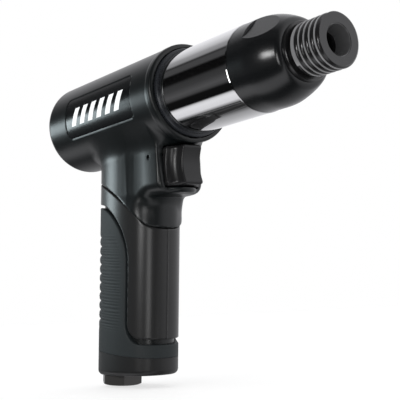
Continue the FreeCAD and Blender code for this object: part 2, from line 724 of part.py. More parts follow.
def make_throttle():
    """Throttle: bushing with its seal, valve with its seat washer, and the return spring."""
    bushing = new_body("throttle_bushing")
    bind(bushing, "Placement.Base.z", -throttle_z)
    first = pocket_end + 0.1
    turn(bushing, stations(
        (first, 2.55), (first, throttle_r - gap), (149, throttle_r - gap), (149, 5.9), (150.8, 5.9),
        (150.8, throttle_r - gap), (bushing_end, throttle_r - gap), (bushing_end, 4), (152, 4),
        (152, 2.55)))
    port = new_sketch(bushing, "XY_Plane")
    draw_circle(port, -supply_station, 0, 2.2)
    extrude(bushing, port, 10, "Pocket", backwards=True)
    seal("throttle_bushing_seal", 6.45, 0.45, x=-(first + 2.8), z=-throttle_z)

    valve = new_body("throttle_valve")
    bind(valve, "Placement.Base.z", -throttle_z)
    tip = trigger_rear + 0.1
    head = bushing_end + 0.95
    turn(valve, stations(
        (tip, 0), (tip, 2), (tip + 0.5, 2.5), (153, 2.5), (153.5, 1.8), (161.5, 1.8), (162, 2.5),
        (head, 2.5), (head, 5.2), (head + 4, 5.2), (head + 4, 2.2), (head + 6, 2.2), (head + 6, 0)))
    washer = new_body("throttle_washer")
    bind(washer, "Placement.Base.z", -throttle_z)
    turn(washer, stations((bushing_end + 0.03, 2.52), (bushing_end + 0.03, 5), (head - 0.03, 5),
                          (head - 0.03, 2.52)))

    spring = new_body("throttle_spring")
    bind(spring, "Placement.Base.z", -throttle_z)
    wire = new_sketch(spring, "XZ_Plane")
    start = head + 4.6
    draw_circle(wire, -start, 3.6, 0.5)
    coil = spring.newObject("PartDesign::AdditiveHelix", "Coil")
    coil.Profile = wire
    coil.ReferenceAxis = (wire, ["H_Axis"])
    coil.Mode = 0
    coil.Reversed = True
    bind(coil, "Pitch", 2.3)
    bind(coil, "Height", throttle_end - 0.7 - start)
    finish_feature(spring, coil)


# ---------------------------------------------------------------- grips and base
def trim_to_handle(body):
    """Cuts a slab of the handle down to the shell between the core and the outer oval."""
    outside = new_sketch(body, "XY_Plane")
    draw(outside, [(-60, -40), (60, -40), (60, 40), (-60, 40)])
    draw_oval(outside, handle_a, handle_b, nose_round)
    extrude(body, outside, 170, "Pocket")
    inside = new_sketch(body, "XY_Plane")
    draw_oval(inside, core_a + gap, core_b + gap, nose_round - grip_wall)
    extrude(body, inside, 170, "Pocket")


def make_grips():
    """Rubber grips: a front one whose top wraps round the handle, and a ribbed pad at the rear."""
    bend_x = groove_x - bend_r
    low_x = groove_x + low_bend_r
    half = groove_wide / 2
    top = bend_z + bend_r
    bottom = low_bend_z - low_bend_r
    front = leaning_body("front_grip")
    side = new_sketch(front, "XZ_Plane")
    seam = [(x, z - 0.15) + tuple(rest) for x, z, *rest in [(34, -69.6)] + seam_corners()]
    draw(side, [(-32, top + half), (bend_x, top + half, -(bend_r + half)), (groove_x + half, bend_z),
                (groove_x + half, low_bend_z, low_bend_r - half), (low_x, bottom + half),
                (34, bottom + half)] + seam)
    extrude(front, side, 2 * handle_b + 4, midplane=True)
    trim_to_handle(front)

    rear = leaning_body("rear_grip")
    side = new_sketch(rear, "XZ_Plane")
    draw(side, [(-32, -grip_end), (34, -grip_end), (34, bottom - half),
                (low_x, bottom - half, -(low_bend_r + half)), (groove_x - half, low_bend_z),
                (groove_x - half, bend_z, bend_r - half), (bend_x, top - half), (-32, top - half)])
    extrude(rear, side, 2 * handle_b + 4, midplane=True)
    trim_to_handle(rear)


def make_base():
    """Base cap that closes the handle, with its gasket, screws, exhaust muffler and air inlet."""
    gasket = leaning_body("base_gasket")
    sheet_plan = new_sketch(gasket, "XY_Plane")
    bind(sheet_plan, "AttachmentOffset.Base.z", -(core_end + 0.7))
    draw_oval(sheet_plan, core_a - 0.2, core_b - 0.2, nose_round - grip_wall)
    draw_oval(sheet_plan, muffler_a, muffler_b, muffler_b - 1, muffler_x)
    draw_circle(sheet_plan, inlet_x, 0, inlet_shank_r + 0.3)
    for side in (1, -1):
        draw_circle(sheet_plan, screw_x, side * screw_y, 1.6)
    extrude(gasket, sheet_plan, 0.65)

    cap = leaning_body("base_cap")
    top = core_end + 0.75
    outline = new_sketch(cap, "XY_Plane")
    bind(outline, "AttachmentOffset.Base.z", -165)
    draw_oval(outline, handle_a, handle_b, nose_round)
    extrude(cap, outline, 165 - top)
    slope = sine(rake) / cosine(rake)
    level = -cap_floor / cosine(rake)
    under = new_sketch(cap, "XZ_Plane")
    draw(under, [(-34, -170), (34, -170), (34, level + 34 * slope), (-34, level - 34 * slope)])
    extrude(cap, under, 60, "Pocket", midplane=True)

    def bottom_rim(edge):
        box = edge.BoundBox
        return box.ZMax < -152 and box.XLength > 3
    ease(cap, 3.2, bottom_rim)
    for radius, depth in ((13.2, 170 - hex_seat), (inlet_shank_r + gap, as_size(60))):
        spot = new_sketch(cap, "XY_Plane")
        bind(spot, "AttachmentOffset.Base.z", -170)
        draw_circle(spot, inlet_x, 0, radius)
        extrude(cap, spot, depth, "Pocket", backwards=True)
    chamber = new_sketch(cap, "XY_Plane")
    bind(chamber, "AttachmentOffset.Base.z", -top)
    draw_oval(chamber, muffler_a, muffler_b, muffler_b - 1, muffler_x)
    extrude(cap, chamber, 6, "Pocket")
    vents = new_sketch(cap, "XY_Plane")
    for across in (1.5, 6.5, 11.5):
        for side in (-5, 0, 5):
            draw_circle(vents, across, side, 1.4)
    extrude(cap, vents, 175, "Pocket")
    holes = new_sketch(cap, "XY_Plane")
    for side in (1, -1):
        draw_circle(holes, screw_x, side * screw_y, 1.65)
    extrude(cap, holes, 175, "Pocket")
    sinks = new_sketch(cap, "XY_Plane")
    bind(sinks, "AttachmentOffset.Base.z", -170)
    for side in (1, -1):
        draw_circle(sinks, screw_x, side * screw_y, 3.1)
    extrude(cap, sinks, 21, "Pocket", backwards=True)

    screws = leaning_body("base_screws")
    for low, length, radius in ((149.02, 20, 1.5), (151.2, 2.18, 2.9)):
        shank = new_sketch(screws, "XY_Plane")
        bind(shank, "AttachmentOffset.Base.z", -low)
        for side in (1, -1):
            draw_circle(shank, screw_x, side * screw_y, radius)
        extrude(screws, shank, length)
    drive = new_sketch(screws, "XY_Plane")
    bind(drive, "AttachmentOffset.Base.z", -151.2)
    for side in (1, -1):
        draw_hexagon(drive, screw_x, side * screw_y, 1.25)
    extrude(screws, drive, 1.3, "Pocket", backwards=True)

    muffler = leaning_body("exhaust_muffler")
    block = new_sketch(muffler, "XY_Plane")
    bind(block, "AttachmentOffset.Base.z", -149.2)
    draw_oval(block, muffler_a - 0.3, muffler_b - 0.3, muffler_b - 1.3, muffler_x)
    extrude(muffler, block, 55)
    make_inlet()


def draw_hexagon(sketch, x, y, half_flats, turned=0):
    """A regular hexagon by its half width across the flats and its first corner's angle."""
    corner = half_flats / math.cos(math.radians(30))
    points = []
    for number in range(6):
        angle = as_size(turned) + 60 * number
        points.append((x + corner * cosine(angle), y + corner * sine(angle)))
    draw(sketch, points)


def make_inlet():
    """Air inlet: hexagon bushing with its seal and its screen."""
    x, z = handle_point(inlet_x, as_size(0))
    bushing = new_body("inlet_bushing")
    place(bushing, x, 0, z, rake)
    foot = hex_seat + hex_height
    bored = inlet_thread_depth - foot
    turn(bushing, [(inlet_thread_r, -foot), (hex_width / 2 - 1, -foot), (hex_width / 2 - 1, -hex_seat),
                   (inlet_shank_r, -hex_seat), (inlet_shank_r, -139), (7.2, -139), (7.2, -137),
                   (inlet_shank_r, -137), (inlet_shank_r, -129), (4.2, -129), (4.2, bored + 0.8),
                   (5.3, bored + 0.8), (5.3, bored), (inlet_thread_r, bored)],
         "Revolution", "XZ_Plane", "V_Axis")
    head = new_sketch(bushing, "XY_Plane")
    bind(head, "AttachmentOffset.Base.z", -foot)
    draw_hexagon(head, 0, 0, hex_width / 2, hex_turn)
    draw_circle(head, 0, 0, inlet_thread_r + 1)
    extrude(bushing, head, hex_height)
    turn(bushing, [(hex_width / 2 - 0.3, -foot - 0.1), (14, -foot - 0.1), (14, 1.5 - foot)],
         "Groove", "XZ_Plane", "V_Axis")
    seal_x, seal_z = handle_point(inlet_x, as_size(-138))
    seal("inlet_seal", 7.85, 0.6, x=seal_x, z=seal_z, upright=rake)

    screen = new_body("inlet_screen")
    place(screen, x, 0, z, rake)
    turn(screen, [(0, bored + 0.05), (5.25, bored + 0.05), (5.25, bored + 0.75), (0, bored + 0.75)],
         "Revolution", "XZ_Plane", "V_Axis")


make_barrel()
make_retaining_ring()
make_nose()
seal("nose_seal", 14.12, 0.48, x=-31)
make_sleeve()
make_front_ring()
seal("barrel_seal", 18.18, 0.72, x=-179.1)
make_piston()
make_valve()
make_housing()
make_label_panels()
make_trigger()
make_throttle()
make_grips()
make_base()


# ---------------------------------------------------------------- write the pieces
doc.recompute()
for thing in doc.Objects:
    if "Invalid" in thing.State or "Error" in thing.State:
        raise RuntimeError(f"{thing.Label} is {thing.State}")
for piece in pieces:
    if piece.Shape.isNull() or not piece.Shape.isValid():
        raise RuntimeError(f"{piece.Label} has no valid shape")
os.makedirs("parts", exist_ok=True)
for piece in pieces:
    piece.Shape.exportStep(f"parts/{piece.Label}.step")
    box = piece.Shape.optimalBoundingBox(False)
    print(f"{piece.Label}: volume {piece.Shape.Volume:.0f}, solids {len(piece.Shape.Solids)}, "
          f"x {box.XMin:.1f}..{box.XMax:.1f}, z {box.ZMin:.1f}..{box.ZMax:.1f}")
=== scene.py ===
"""Pneumatic air hammer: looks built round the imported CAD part.

Shapes are worked out in millimetres in the tool's frame (x forward, y left, z up, origin at the muzzle)
and scaled to metres when they become meshes.  "Station" means distance behind the muzzle, -x.
"""
import json
import math

import bpy
import numpy as np
from mathutils import Matrix, Vector


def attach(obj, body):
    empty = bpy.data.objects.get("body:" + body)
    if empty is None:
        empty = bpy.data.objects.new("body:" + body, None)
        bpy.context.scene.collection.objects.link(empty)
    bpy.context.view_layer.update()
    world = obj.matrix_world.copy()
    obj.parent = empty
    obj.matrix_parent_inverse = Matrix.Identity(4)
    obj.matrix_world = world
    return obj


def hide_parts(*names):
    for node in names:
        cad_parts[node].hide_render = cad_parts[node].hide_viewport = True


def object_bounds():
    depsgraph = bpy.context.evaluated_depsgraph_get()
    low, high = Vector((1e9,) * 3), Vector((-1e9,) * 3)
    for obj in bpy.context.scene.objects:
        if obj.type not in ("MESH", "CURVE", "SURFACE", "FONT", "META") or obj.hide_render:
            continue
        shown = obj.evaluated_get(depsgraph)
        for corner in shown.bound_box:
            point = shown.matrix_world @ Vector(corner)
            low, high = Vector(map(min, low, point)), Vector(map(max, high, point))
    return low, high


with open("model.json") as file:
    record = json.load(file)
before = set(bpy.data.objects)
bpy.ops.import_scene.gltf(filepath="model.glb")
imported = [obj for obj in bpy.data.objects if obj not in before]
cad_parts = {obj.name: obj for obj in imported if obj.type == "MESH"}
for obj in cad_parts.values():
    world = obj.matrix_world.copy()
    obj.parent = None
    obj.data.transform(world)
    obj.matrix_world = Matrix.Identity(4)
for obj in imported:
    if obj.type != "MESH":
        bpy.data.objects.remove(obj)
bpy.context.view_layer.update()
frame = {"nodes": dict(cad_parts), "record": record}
nodes = frame["nodes"]
MM, MICRON = 1e-3, 1e-6
BLOTCHES = 60


# ---------------------------------------------------------------- solid shapes as distance fields
# A field gives the distance to a surface, negative inside the solid.
def round_union(a, b, radius):
    """Both solids, with a fillet in the corner between them."""
    return np.maximum(radius, np.minimum(a, b)) - np.hypot(
        np.maximum(radius - a, 0), np.maximum(radius - b, 0))


def round_both(a, b, radius):
    """Where the two solids meet, with the edge between their surfaces rounded."""
    return np.minimum(-radius, np.maximum(a, b)) + np.hypot(
        np.maximum(radius + a, 0), np.maximum(radius + b, 0))


def cut(solid, tool, radius):
    return round_both(solid, -tool, radius)


def within(*fields):
    """The part of space inside every one of the solids, with sharp edges."""
    return np.maximum.reduce(np.broadcast_arrays(*fields))


def step(value):
    """0 below 0, 1 above 1, smooth between."""
    t = np.clip(value, 0, 1)
    return t * t * (3 - 2 * t)


def oval(u, v, half_depth, half_width, end_round):
    """Distance to an oval of four tangent arcs."""
    reach = half_depth - end_round
    side_round = (reach ** 2 + half_width ** 2 - end_round ** 2) / (2 * (half_width - end_round))
    drop = side_round - half_width
    u, v = np.abs(u), np.abs(v)
    in_end = reach * (v + drop) - drop * u < 0
    return np.where(in_end, np.hypot(u - reach, v) - end_round, np.hypot(u, v + drop) - side_round)


def gradient(field, points, reach=0.02):
    """Slope of a field at points, as an array of vectors."""
    slope = np.empty_like(points)
    for axis in range(3):
        ahead, behind = points.copy(), points.copy()
        ahead[:, axis] += reach
        behind[:, axis] -= reach
        slope[:, axis] = (field(*ahead.T) - field(*behind.T)) / (2 * reach)
    return slope


def unit(vectors):
    return vectors / np.maximum(np.linalg.norm(vectors, axis=1, keepdims=True), 1e-9)


def crossed_edges(values, axis):
    """Grid edges along one axis that pass through the surface: lower corners, and which end is inside."""
    low = [slice(None)] * 3
    high = [slice(None)] * 3
    low[axis], high[axis] = slice(0, -1), slice(1, None)
    inside = values < 0
    corners = np.argwhere(inside[tuple(low)] != inside[tuple(high)])
    side_axes = [k for k in range(3) if k != axis]
    roomy = np.all([(corners[:, k] > 0) & (corners[:, k] < values.shape[k] - 1) for k in side_axes], axis=0)
    corners = corners[roomy]
    return corners, inside[tuple(corners.T)]


def skin(field, low, high, spacing):
    """Vertices and quads of the surface where field is zero: one vertex per grid cell that it
    passes through, placed where the surface's own tangent planes meet, so edges stay crisp."""
    low = np.array(low, float)
    counts = np.ceil((np.array(high, float) - low) / spacing).astype(int) + 1
    axes = [low[k] + spacing * np.arange(counts[k]) for k in range(3)]
    values = np.concatenate([field(*np.meshgrid(part, axes[1], axes[2], indexing="ij"))
                             for part in np.array_split(axes[0], max(1, counts[0] // 16))])
    cells = counts - 1
    quads, owners, points = [], [], []
    for axis in range(3):
        corners, starts_inside = crossed_edges(values, axis)
        across, up = (axis + 1) % 3, (axis + 2) % 3
        far = corners.copy()
        far[:, axis] += 1
        a, b = values[tuple(corners.T)], values[tuple(far.T)]
        spot = low + spacing * corners
        spot[:, axis] += spacing * a / (a - b)
        ring = []
        for shift_across, shift_up in ((-1, -1), (0, -1), (0, 0), (-1, 0)):
            cell = corners.copy()
            cell[:, across] += shift_across
            cell[:, up] += shift_up
            ring.append(np.ravel_multi_index(cell.T, cells))
        ring = np.array(ring).T
        ring[~starts_inside] = ring[~starts_inside][:, ::-1]
        quads.append(ring)
        owners.append(ring.ravel())
        points.append(np.repeat(spot, 4, axis=0))
    points = np.concatenate(points)
    used, owner = np.unique(np.concatenate(owners), return_inverse=True)
    place = np.searchsorted(used, np.concatenate(quads))

    slope = unit(gradient(field, points))
    count = np.bincount(owner)
    middle = np.stack([np.bincount(owner, points[:, k]) for k in range(3)], 1) / count[:, None]
    matrix = np.empty((len(used), 3, 3))
    for i in range(3):
        for j in range(3):
            matrix[:, i, j] = np.bincount(owner, slope[:, i] * slope[:, j]) / count
    offset = np.einsum("ij,ij->i", slope, points - middle[owner])
    pull = np.stack([np.bincount(owner, slope[:, k] * offset) for k in range(3)], 1) / count[:, None]
    matrix += 0.02 * np.eye(3)
    moved = np.linalg.solve(matrix, pull[:, :, None])[:, :, 0]
    length = np.maximum(np.linalg.norm(moved, axis=1, keepdims=True), 1e-9)
    moved *= np.minimum(1, spacing / length)
    return middle + moved, place


def add_mesh(name, vertices, faces, body, slot, material, crease=50):
    """A smooth-shaded piece in metres that rides on a body."""
    mesh = bpy.data.meshes.new(name)
    mesh.from_pydata((vertices * MM).tolist(), [], np.asarray(faces).tolist())
    mesh.validate()
    mesh.polygons.foreach_set("use_smooth", [True] * len(mesh.polygons))
    mesh.set_sharp_from_angle(angle=math.radians(crease))
    piece = bpy.data.objects.new(name, mesh)
    bpy.context.scene.collection.objects.link(piece)
    mesh.materials.append(material)
    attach(piece, body)
    return piece


# ---------------------------------------------------------------- the tool's main sizes
BARREL_R = 27.6
HOUSE_FRONT, HOUSE_END = 113, 232
HANDLE_X, RAKE = -163.5, math.radians(5.5)
HANDLE = (29.5, 18, 16)
CORE = (26.9, 15.4, 13.4)
GRIP_END, CORE_END = 143.3, 142.6
BLOCK_B, BLOCK_FLOOR, BLOCK_FRONT, FLANK_MID = 15.8, 54.5, 126.8, 139.8
HOLLOW_R, HOLLOW_RUN, CLOSING_R, CLOSING_RUN = 101, 16.5, 115, 25
EDGE_R, EDGE_START, EDGE_RUN = 1.42, 11.5, 2.4
SCOOP_BACK, SCOOP_R = 146.5, 10
CHIN_MIDDLE, CHIN_R = 132, 11.5
POCKET_B, POCKET_TOP, POCKET_FLOOR, POCKET_END = 11.45, 28.1, 51.3, 147
TRIGGER_Z, TRIGGER_HALF, DISH_X = -39.7, 11.2, -93.8
PAD_FRONT, PAD_B, SHOULDER_FRONT = 116.2, 6.2, 124.7
PIN_STATION, PIN_Z, PIN_HOLE_R = 135.4, -33.4, 1.28
SLOT_STATION, SLOT_REACH, SLOT_R = 131.875, 3.525, 1.35
THROTTLE_Z, THROTTLE_R, THROTTLE_END = -39.5, 7, 186
SUPPLY_STATION, SUPPLY_R = 155, 3
MOUTH_BORE_R, MOUTH_BORE_END, BORE_R, BORE_END = 25.5, 128, 19, 214
CHAMBER_U, CHAMBER = 6.5, (10.5, 10, 9)
LABEL_FRONT, LABEL_REAR, LABEL_HALF, LABEL_DEPTH, LABEL_GAP = 134, 205.5, math.radians(26), 0.5, 0.3
BARS, FIRST_BAR, BAR_PITCH, BAR_HALF, BAR_SLANT, BAR_REACH = 6, 146, 9.6, 2.5, 2.6, math.radians(11)
INLET_U = -16.5
GRIP_PLAY = 0.05
FINE_RIB_PITCH, SCALLOP_PITCH = 1.8, 5.4


def to_handle(x, z):
    """Forward and upward distances in the handle's leaning frame."""
    u = (x - HANDLE_X) * math.cos(RAKE) - z * math.sin(RAKE)
    w = (x - HANDLE_X) * math.sin(RAKE) + z * math.cos(RAKE)
    return u, w


def above_seam(u, w):
    """Distance above the curved seam between the metal neck and the grips."""
    back_arc = np.hypot(u + 39.13, w + 131.73) - 90
    front_arc = np.where(u < 31.1, 12 - np.hypot(u - 31.1, w + 58), w + 70)
    behind_bend = -0.67 * (u - 21.5) + 0.742 * (w + 65.2) > 0
    return np.where(behind_bend, back_arc, front_arc)


def ahead_of_groove(u, w):
    """Distance from the middle of the groove between the grips, positive on the front grip's side."""
    top = np.where(u < -20.8, w + 57, np.hypot(u + 20.8, w + 90) - 33)
    bottom = np.where(u < 22.2, 10 - np.hypot(u - 22.2, w + 124.3), w + 134.3)
    return np.where(w > -90, top, np.where(w > -124.3, u - 12.2, bottom))


def label_outline(x, y, z):
    """Distance to a rounded rectangle wrapped round the barrel's flank."""
    round_arc = (np.abs(np.arctan2(z, np.abs(y))) - LABEL_HALF) * BARREL_R
    along = np.abs(-x - (LABEL_FRONT + LABEL_REAR) / 2) - (LABEL_REAR - LABEL_FRONT) / 2
    return round_both(along, round_arc, 3)


# ---------------------------------------------------------------- the pieces' fields
def block_half_width(x):
    """The trigger block's half width: hollow where it leaves the neck, closing in towards the front."""
    along = x + FLANK_MID
    hollow = np.clip(-along, 0, HOLLOW_RUN) ** 2 / (2 * HOLLOW_R)
    closing = np.clip(along, 0, CLOSING_RUN) ** 2 / (2 * CLOSING_R)
    edge = np.clip(along - EDGE_START, 0, EDGE_RUN) ** 2 / (2 * EDGE_R)
    return BLOCK_B + hollow - closing - edge


def trigger_block(x, y, z):
    """The block that holds the trigger: scooped out behind, and its front leans a little."""
    flank = np.abs(y) - block_half_width(x)
    side_view = round_union(-BLOCK_FLOOR - z, x + SCOOP_BACK, SCOOP_R)
    lean = 0.075 * (z - TRIGGER_Z)
    block = round_both(flank, side_view, 6.5)
    block = round_both(block, x + BLOCK_FRONT + lean, 0.35)
    return within(block, -74 - z, z + 10, -165 - x)


def chin(x, y, z):
    """The rounded floor that reaches forward under the trigger."""
    plan = np.hypot(np.maximum(x + CHIN_MIDDLE, 0), y) - CHIN_R
    solid = round_both(plan, -BLOCK_FLOOR - z, 2.4)
    solid = round_both(solid, z + POCKET_FLOOR, 0.4)
    return within(solid, -160 - x)


def housing_outside(x, y, z):
    """Barrel, neck, trigger block and chin blended into one casting, cut off at the grips' seam."""
    u, w = to_handle(x, z)
    station = -x
    radius = np.hypot(y, z)
    lip = 0.3 * step((118.2 - station) / 0.8)
    barrel = round_both(radius - BARREL_R - lip, station - HOUSE_END, 7)
    barrel = round_both(barrel, HOUSE_FRONT - station, 1.5)
    neck = within(oval(u, y, *HANDLE), w + 5)
    blend = 0.8 + 3 * step((-BLOCK_FLOOR + 4 - z) / 8)
    body = round_union(neck, trigger_block(x, y, z), blend)
    body = round_union(body, chin(x, y, z), 1.0)
    solid = round_union(barrel, body, 8)
    return round_both(solid, -above_seam(u, w), 0.8)


def housing_hollows(x, y, z):
    """Every bore and passage of the housing, with sharp edges."""
    u, w = to_handle(x, z)
    radius = np.hypot(y, z)
    throttle = within(np.hypot(y, z - THROTTLE_Z) - THROTTLE_R, -THROTTLE_END - x)
    supply = within(np.hypot(x + SUPPLY_STATION, y) - SUPPLY_R, z + 17, THROTTLE_Z - z)
    mouth = within(radius - MOUTH_BORE_R, -x - MOUTH_BORE_END)
    bore = within(radius - BORE_R, -x - BORE_END)
    inlet = np.hypot(u - INLET_U, y)
    air = np.minimum(within(inlet - 5, w + 41), within(inlet - 8.55, w + 126))
    chamber = within(oval(u - CHAMBER_U, y, *CHAMBER), w + 60)
    ducts = within(np.hypot(u - 5, np.abs(y) - 10.9) - 2.6, w + 14, -75 - w)
    tapped = within(np.hypot(u - 20.5, np.abs(y) - 5.5) - 1.55, w + 126.6)
    pin_hole = np.hypot(x + PIN_STATION, z - PIN_Z) - PIN_HOLE_R
    return np.minimum.reduce([throttle, supply, mouth, bore, air, chamber, ducts, tapped, pin_hole])


def housing(x, y, z):
    """The casting, with the core that the grips go round, less its recesses and bores."""
    u, w = to_handle(x, z)
    radius = np.hypot(y, z)
    solid = housing_outside(x, y, z)
    core = within(oval(u, y, *CORE), -CORE_END - w, w + 45)
    solid = np.minimum(solid, core)
    recess = within(BARREL_R - LABEL_DEPTH - radius, label_outline(x, y, z))
    solid = cut(solid, recess, 0.25)
    pocket = within(np.abs(y) - POCKET_B, z + POCKET_TOP, -POCKET_FLOOR - z, -POCKET_END - x)
    solid = cut(solid, pocket, 0.5)
    return np.maximum(solid, -housing_hollows(x, y, z))


def groove_half(u, w):
    """Half width of the groove, which is wider on its lower run."""
    return 0.9 + 0.6 * step((-w - 122) / 10) * step((u - 12) / 6)


def grip_inside(u, y):
    """The housing's core with the play that the grips have on it."""
    half_depth, half_width, end_round = CORE
    return oval(u, y, half_depth + GRIP_PLAY, half_width + GRIP_PLAY, end_round)


def front_grip(x, y, z):
    """The plain front grip, with a faint moulding ridge down the middle of its front."""
    u, w = to_handle(x, z)
    ridge = 0.22 * np.exp(-(y / 0.4) ** 2) * step(u / 10)
    outer = oval(u, y, *HANDLE) - ridge
    solid = round_both(outer, above_seam(u, w) + 0.45, 0.7)
    solid = round_both(solid, groove_half(u, w) - ahead_of_groove(u, w), 0.7)
    return np.maximum(solid, -grip_inside(u, y))


def rib_depth(u, w):
    """How deep the rear grip is grooved: uneven fine lines on the sides, scallops up the back."""
    ribbed = step((-w - 72) / 6) * step((w + 131) / 6)
    from_groove = -ahead_of_groove(u, w)
    drift = 0.35 * np.sin(0.31 * w + 1.3) + 0.25 * np.sin(0.83 * w)
    depth = 0.11 + 0.05 * np.sin(0.47 * w + 0.2 * u)
    lines = 0.5 + 0.5 * np.cos(2 * np.pi * (w + drift) / FINE_RIB_PITCH)
    fine = depth * lines * ribbed * step((from_groove - 3) / 5)
    wave = np.abs(np.sin(np.pi * w / SCALLOP_PITCH))
    scallop = (1 - wave) ** 1.5 * ribbed * step((-u - 14) / 7)
    return np.maximum(fine, scallop)


def rear_grip(x, y, z):
    """The ribbed rear pad."""
    u, w = to_handle(x, z)
    outer = oval(u, y, *HANDLE) + rib_depth(u, w)
    solid = round_both(outer, groove_half(u, w) + ahead_of_groove(u, w), 0.7)
    solid = round_both(solid, -GRIP_END - w, 0.3)
    return np.maximum(solid, -grip_inside(u, y))


def trigger(x, y, z):
    """The whole front is turned about an axis across the tool, so it is dished everywhere."""
    side = np.abs(y)
    front = DISH_X - np.hypot(x - DISH_X, z - TRIGGER_Z)
    shoulder = round_both(front + SHOULDER_FRONT, side - TRIGGER_HALF, 0.5)
    flare = 0.1 * np.clip(-PAD_FRONT - front, 0, 9)
    pad = round_both(front + PAD_FRONT, side - PAD_B - flare, 0.7)
    plan = round_union(shoulder, pad, 5.2)
    solid = round_both(plan, np.abs(z - TRIGGER_Z) - TRIGGER_HALF, 2.4)
    solid = within(solid, -139 - x)
    along_slot = np.maximum(np.abs(x + SLOT_STATION) - SLOT_REACH, 0)
    slot = np.hypot(along_slot, z - PIN_Z) - SLOT_R
    return cut(solid, slot, 0.15)


# ---------------------------------------------------------------- materials
def steel_and_sheen_by_radius(tree, where, bands):
    """0 to 1: how much lighter a turned piece is coloured, from (inner, outer, rearmost station, lightening)
    bands in mm; the lighter colour paints highlights and reflections, in a bore partly also uncoated steel.
    """

    def maths(operation, *values):
        node = tree.nodes.new("ShaderNodeMath")
        node.operation = operation
        for slot, value in zip(node.inputs, values):
            if isinstance(value, (int, float)):
                slot.default_value = value
            else:
                tree.links.new(value, slot)
        return node.outputs[0]

    split = tree.nodes.new("ShaderNodeSeparateXYZ")
    tree.links.new(where.outputs["Object"], split.inputs["Vector"])
    x, y, z = (split.outputs[axis] for axis in "XYZ")
    radius = maths("SQRT", maths("ADD", maths("MULTIPLY", y, y), maths("MULTIPLY", z, z)))
    total = 0
    for inner, outer, rearmost, lightening in bands:
        inside = maths("MULTIPLY", maths("GREATER_THAN", radius, inner * MM),
                       maths("LESS_THAN", radius, outer * MM))
        ahead = maths("GREATER_THAN", x, -rearmost * MM)
        total = maths("ADD", total, maths("MULTIPLY", maths("MULTIPLY", inside, ahead), lightening))
    return total


def show_steel_and_sheen(tree, where, tone, bands):
    """Mixes a light grey into the colour in the radius bands: painted highlights and reflections, partly also
    uncoated steel.
    """
    lighter_tone = tree.nodes.new("ShaderNodeMix")
    lighter_tone.data_type = "RGBA"
    # light grey: painted highlight on the thread crests, and in the bore partly a painted reflection, partly
    # uncoated steel
    lighter_tone.inputs["B"].default_value = (0.42, 0.42, 0.43, 1)
    tree.links.new(steel_and_sheen_by_radius(tree, where, bands), lighter_tone.inputs["Factor"])
    tree.links.new(tone.outputs["Result"], lighter_tone.inputs["A"])
    return lighter_tone


def machining_rings(tree, where, bump, height):
    """Fine turning marks about the barrel's axis, added to the bumps already there."""
    turned = tree.nodes.new("ShaderNodeTexWave")
    turned.wave_type = "RINGS"
    turned.rings_direction = "X"
    turned.inputs["Scale"].default_value = 400
    turned.inputs["Distortion"].default_value = 0.6
    tree.links.new(where.outputs["Object"], turned.inputs["Vector"])
    marks = tree.nodes.new("ShaderNodeBump")
    marks.inputs["Distance"].default_value = height * MICRON
    tree.links.new(turned.outputs["Fac"], marks.inputs["Height"])
    tree.links.new(bump.outputs["Normal"], marks.inputs["Normal"])
    return marks


def finish(name, colour, roughness, metallic=0.0, grain=1200, height=4, vary=0.15, rough_vary=0.05,
           stretch=(1, 1, 1), specular=0.5, steel_and_sheen_bands=None, rings=0):
    """A procedural finish: fine bumps of a given grain (per metre) and height (micrometres), with
    slow variation of colour and gloss.  Turned pieces can have lighter radius bands, which paint highlights
    and reflections, and machining rings."""
    material = bpy.data.materials.new(name)
    material.use_nodes = True
    tree = material.node_tree
    shader = tree.nodes["Principled BSDF"]
    shader.inputs["Metallic"].default_value = metallic
    shader.inputs["Specular IOR Level"].default_value = specular

    where = tree.nodes.new("ShaderNodeTexCoord")
    mapping = tree.nodes.new("ShaderNodeMapping")
    mapping.inputs["Scale"].default_value = stretch
    tree.links.new(where.outputs["Object"], mapping.inputs["Vector"])

    def noise(scale, detail):
        texture = tree.nodes.new("ShaderNodeTexNoise")
        texture.inputs["Scale"].default_value = scale
        texture.inputs["Detail"].default_value = detail
        tree.links.new(mapping.outputs["Vector"], texture.inputs["Vector"])
        return texture.outputs["Fac"]

    slow = noise(BLOTCHES, 3)
    fine = noise(grain, 2)
    tone = tree.nodes.new("ShaderNodeMix")
    tone.data_type = "RGBA"
    tone.inputs["A"].default_value = (*(c * (1 - vary) for c in colour), 1)
    tone.inputs["B"].default_value = (*(c * (1 + vary) for c in colour), 1)
    tree.links.new(slow, tone.inputs["Factor"])
    if steel_and_sheen_bands:
        tone = show_steel_and_sheen(tree, where, tone, steel_and_sheen_bands)
    tree.links.new(tone.outputs["Result"], shader.inputs["Base Color"])

    gloss = tree.nodes.new("ShaderNodeMapRange")
    gloss.inputs["To Min"].default_value = roughness - rough_vary
    gloss.inputs["To Max"].default_value = roughness + rough_vary
    tree.links.new(fine, gloss.inputs["Value"])
    tree.links.new(gloss.outputs["Result"], shader.inputs["Roughness"])

    bump = tree.nodes.new("ShaderNodeBump")
    bump.inputs["Distance"].default_value = height * MICRON
    tree.links.new(fine, bump.inputs["Height"])
    if rings:
        bump = machining_rings(tree, where, bump, rings)
    tree.links.new(bump.outputs["Normal"], shader.inputs["Normal"])
    return material


